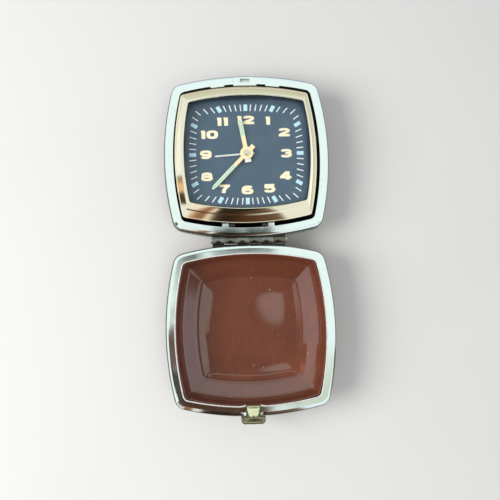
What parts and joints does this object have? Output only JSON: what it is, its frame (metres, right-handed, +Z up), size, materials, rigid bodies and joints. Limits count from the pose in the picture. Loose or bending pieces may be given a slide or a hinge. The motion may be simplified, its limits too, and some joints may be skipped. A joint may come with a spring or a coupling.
{
  "type": "folding travel alarm clock",
  "caption": "Folding travel alarm clock lying open: a square clock half with a domed gold bezel, hinged to a brown-lined lid with a brass clasp.",
  "frame": {"origin": "centre of the bounding box's bottom face, on the table under the open clock", "axes": "+X to the right of the dial, +Y from the lid towards 12 on the dial, +Z up out of the dial"},
  "size_m": [0.0676, 0.1396, 0.0187],
  "materials": {
    "rim_metal": "bright pale plating",
    "bead_metal": "bright, beaded",
    "shell_plastic": "glossy brown",
    "lining_black": "dull black",
    "lining_brown": "glossy red-brown",
    "hinge_metal": "dull plated",
    "steel": "satin",
    "spring_steel": "blued",
    "clasp_brass": "polished",
    "thumb_brass": "dark olive, polished",
    "bezel_gold": "polished",
    "clear_glass": "clear",
    "ring_paint": "satin",
    "dial_paint": "satin blue-grey",
    "housing_metal": "black",
    "movement_brass": "satin",
    "knurled_brass": "polished",
    "hand_cream": "satin cream",
    "alarm_hand_paint": "satin pale grey"
  },
  "bodies": {
    "case": {"case_rim": "rim_metal", "case_side_band": "bead_metal", "case_shell": "shell_plastic", "case_lining": "lining_black", "case_hinge_leaf": "hinge_metal", "hinge_pin": "steel", "module_pivot_pins": "steel"},
    "lid": {"lid_rim": "rim_metal", "lid_side_band": "bead_metal", "lid_shell": "shell_plastic", "lid_lining": "lining_brown", "lid_hinge_leaf": "hinge_metal", "clasp_spring": "spring_steel"},
    "clasp": {"clasp_tongue": "clasp_brass", "clasp_thumb_piece": "thumb_brass"},
    "clock_frame": {"bezel": "bezel_gold", "crystal": "clear_glass", "dial_ring": "ring_paint", "dial": "dial_paint", "module_housing": "housing_metal", "back_cover": "housing_metal", "back_cover_screws": "steel", "front_plate": "movement_brass", "back_plate": "movement_brass", "pillars": "movement_brass", "pillar_nuts": "steel", "hairspring": "spring_steel"},
    "minute": {"centre_arbor": "steel", "minute_hand": "hand_cream", "setting_knob": "movement_brass"},
    "hour": {"hour_wheel": "movement_brass", "hour_hand": "hand_cream"},
    "motion": {"minute_wheel": "movement_brass"},
    "alarm_indicator": {"alarm_wheel": "movement_brass", "alarm_hand": "alarm_hand_paint"},
    "thumb_wheel": {"alarm_thumb_wheel": "knurled_brass"},
    "centre": {"centre_wheel": "movement_brass"},
    "third": {"third_wheel": "movement_brass"},
    "fourth": {"fourth_wheel": "movement_brass"},
    "escape": {"escape_wheel": "movement_brass"},
    "time_spring_barrel": {"time_barrel": "movement_brass", "time_mainspring": "spring_steel"},
    "lever": {"pallet_lever": "steel"},
    "balance": {"balance_wheel": "movement_brass"},
    "alarm_spring_barrel": {"alarm_barrel": "movement_brass", "alarm_mainspring": "spring_steel"},
    "strike": {"strike_wheel": "movement_brass"},
    "hammer": {"alarm_hammer": "steel"},
    "time_key": {"time_winding_key": "movement_brass"},
    "alarm_key": {"alarm_winding_key": "movement_brass"},
    "stop_button": {"alarm_stop_button": "movement_brass"},
    "regulator": {"regulator_lever": "steel"}
  },
  "joints": [
    {"name": "lid_hinge", "type": "hinge", "parent": "case", "child": "lid", "pos_m": [0, 0.0012, 0.01565], "axis": [1, 0, 0], "range_deg": [-180, 0]},
    {"name": "frame_tilt", "type": "hinge", "parent": "case", "child": "clock_frame", "pos_m": [0, 0.00745, 0.0148], "axis": [1, 0, 0], "range_deg": [0, 70]},
    {"name": "clasp_slide", "type": "slide", "parent": "lid", "child": "clasp", "axis": [0, -1, 0], "range_m": [0, 0.0006], "stiffness_N_per_m": 600, "springref_m": -0.0005, "deforming": ["clasp_spring"]},
    {"name": "minute_turn", "type": "hinge", "parent": "clock_frame", "child": "minute", "pos_m": [0, 0.0366, 0.0095], "axis": [0, 0, 1], "continuous": true},
    {"name": "hour_turn", "type": "hinge", "parent": "clock_frame", "child": "hour", "pos_m": [0, 0.0366, 0.0095], "axis": [0, 0, 1], "continuous": true},
    {"name": "motion_turn", "type": "hinge", "parent": "clock_frame", "child": "motion", "pos_m": [-0.00653, 0.03356, 0.0095], "axis": [0, 0, 1], "continuous": true},
    {"name": "thumb_wheel_turn", "type": "hinge", "parent": "clock_frame", "child": "thumb_wheel", "pos_m": [0.0157, 0.0421, 0.0095], "axis": [0, 0, 1], "continuous": true},
    {"name": "alarm_hand_turn", "type": "hinge", "parent": "clock_frame", "child": "alarm_indicator", "pos_m": [0, 0.0366, 0.0095], "axis": [0, 0, 1], "continuous": true},
    {"name": "third_wheel_turn", "type": "hinge", "parent": "clock_frame", "child": "third", "pos_m": [0.0034, 0.04249, 0.0095], "axis": [0, 0, 1], "continuous": true},
    {"name": "centre_wheel_turn", "type": "hinge", "parent": "clock_frame", "child": "centre", "pos_m": [0, 0.0366, 0.0095], "axis": [0, 0, 1], "continuous": true},
    {"name": "time_barrel_turn", "type": "hinge", "parent": "clock_frame", "child": "time_spring_barrel", "pos_m": [-0.00778, 0.03115, 0.0095], "axis": [0, 0, 1], "continuous": true},
    {"name": "fourth_wheel_turn", "type": "hinge", "parent": "clock_frame", "child": "fourth", "pos_m": [0.00239, 0.0482, 0.0095], "axis": [0, 0, 1], "continuous": true},
    {"name": "escape_wheel_turn", "type": "hinge", "parent": "clock_frame", "child": "escape", "pos_m": [-0.00241, 0.0482, 0.0095], "axis": [0, 0, 1], "continuous": true},
    {"name": "lever_rock", "type": "hinge", "parent": "clock_frame", "child": "lever", "pos_m": [-0.0068, 0.0476, 0.0095], "axis": [0, 0, 1], "range_deg": [-4, 4]},
    {"name": "balance_swing", "type": "hinge", "parent": "clock_frame", "child": "balance", "pos_m": [-0.0112, 0.0442, 0.0095], "axis": [0, 0, 1], "range_deg": [-135, 135], "deforming": ["hairspring"]},
    {"name": "alarm_barrel_turn", "type": "hinge", "parent": "clock_frame", "child": "alarm_spring_barrel", "pos_m": [0.0086, 0.0298, 0.0095], "axis": [0, 0, 1], "continuous": true},
    {"name": "strike_wheel_turn", "type": "hinge", "parent": "clock_frame", "child": "strike", "pos_m": [0.00999, 0.03768, 0.0095], "axis": [0, 0, 1], "continuous": true},
    {"name": "hammer_rock", "type": "hinge", "parent": "clock_frame", "child": "hammer", "pos_m": [0.0144, 0.0432, 0.0095], "axis": [0, 0, 1], "range_deg": [-5, 5]},
    {"name": "time_key_turn", "type": "hinge", "parent": "clock_frame", "child": "time_key", "pos_m": [-0.00778, 0.03115, 0.0033], "axis": [0, 0, 1], "continuous": true},
    {"name": "alarm_key_turn", "type": "hinge", "parent": "clock_frame", "child": "alarm_key", "pos_m": [0.0086, 0.0298, 0.0033], "axis": [0, 0, 1], "continuous": true},
    {"name": "stop_press", "type": "slide", "parent": "clock_frame", "child": "stop_button", "axis": [0, 0, 1], "range_m": [0, 0.0009], "stiffness_N_per_m": 150, "springref_m": -0.0008},
    {"name": "regulator_shift", "type": "hinge", "parent": "clock_frame", "child": "regulator", "pos_m": [-0.0112, 0.0442, 0.0056], "axis": [0, 0, 1], "range_deg": [-20, 20]}
  ],
  "couplings": [
    {"joint": "hour_turn", "follows": "minute_turn", "ratio": 0.083333},
    {"joint": "motion_turn", "follows": "minute_turn", "ratio": -0.33333},
    {"joint": "alarm_hand_turn", "follows": "thumb_wheel_turn", "ratio": -1},
    {"joint": "centre_wheel_turn", "follows": "third_wheel_turn", "ratio": -0.13333},
    {"joint": "time_barrel_turn", "follows": "third_wheel_turn", "ratio": 0.025},
    {"joint": "fourth_wheel_turn", "follows": "third_wheel_turn", "ratio": -6.25},
    {"joint": "escape_wheel_turn", "follows": "third_wheel_turn", "ratio": 31.25},
    {"joint": "strike_wheel_turn", "follows": "alarm_barrel_turn", "ratio": -7}
  ]
}
